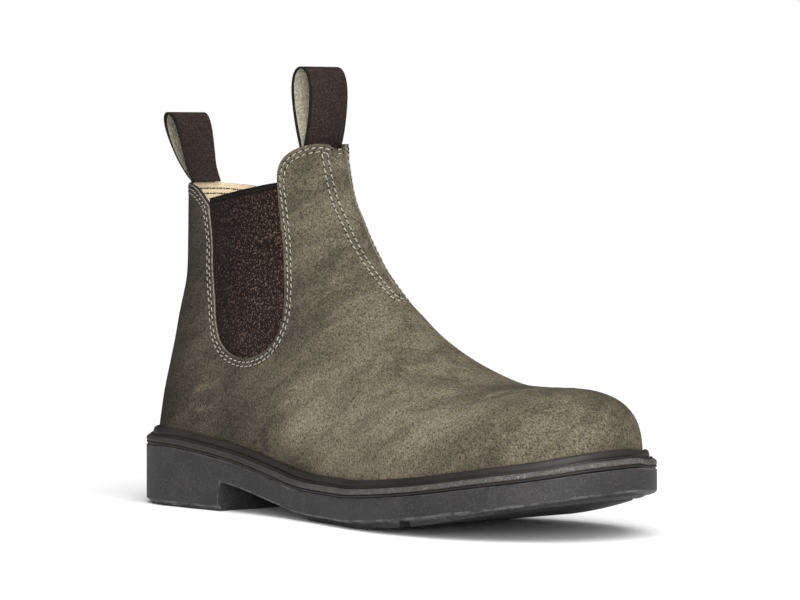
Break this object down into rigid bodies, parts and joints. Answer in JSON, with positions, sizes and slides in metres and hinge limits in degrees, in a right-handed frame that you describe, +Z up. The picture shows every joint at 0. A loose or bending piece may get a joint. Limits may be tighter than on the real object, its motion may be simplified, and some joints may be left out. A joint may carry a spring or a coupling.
{
  "type": "side gore work boot",
  "caption": "Ankle-high pull-on work boot with elastic side gores, webbing pull loops, a narrow instep panel, a welted midsole with a raised rand and a lugged rubber outsole with a heel.",
  "frame": {"origin": "on the floor under the middle of the heel block, on the sole's centre line at the heel", "axes": "+X along the boot to the toe, +Y to the inner side of the foot, +Z up"},
  "size_m": [0.305, 0.1065, 0.203],
  "materials": {
    "outsole": "matte moulded dark grey rubber",
    "midsole": "satin dark brown rubber",
    "insole": "matte cloth-covered footbed",
    "upper": "matte oiled nubuck, olive brown",
    "instep_panel": "matte oiled nubuck, olive brown",
    "gore_outer": "ribbed elastic webbing, dark brown",
    "gore_inner": "ribbed elastic webbing, dark brown",
    "pull_loop_front": "woven webbing, dark brown outside and cream inside",
    "pull_loop_back": "woven webbing, dark brown outside and cream inside"
  },
  "bodies": {
    "root": {"outsole": "outsole", "midsole": "midsole", "insole": "insole", "upper": "upper", "instep_panel": "instep_panel", "gore_outer": "gore_outer", "gore_inner": "gore_inner", "pull_loop_front": "pull_loop_front", "pull_loop_back": "pull_loop_back"}
  },
  "joints": []
}
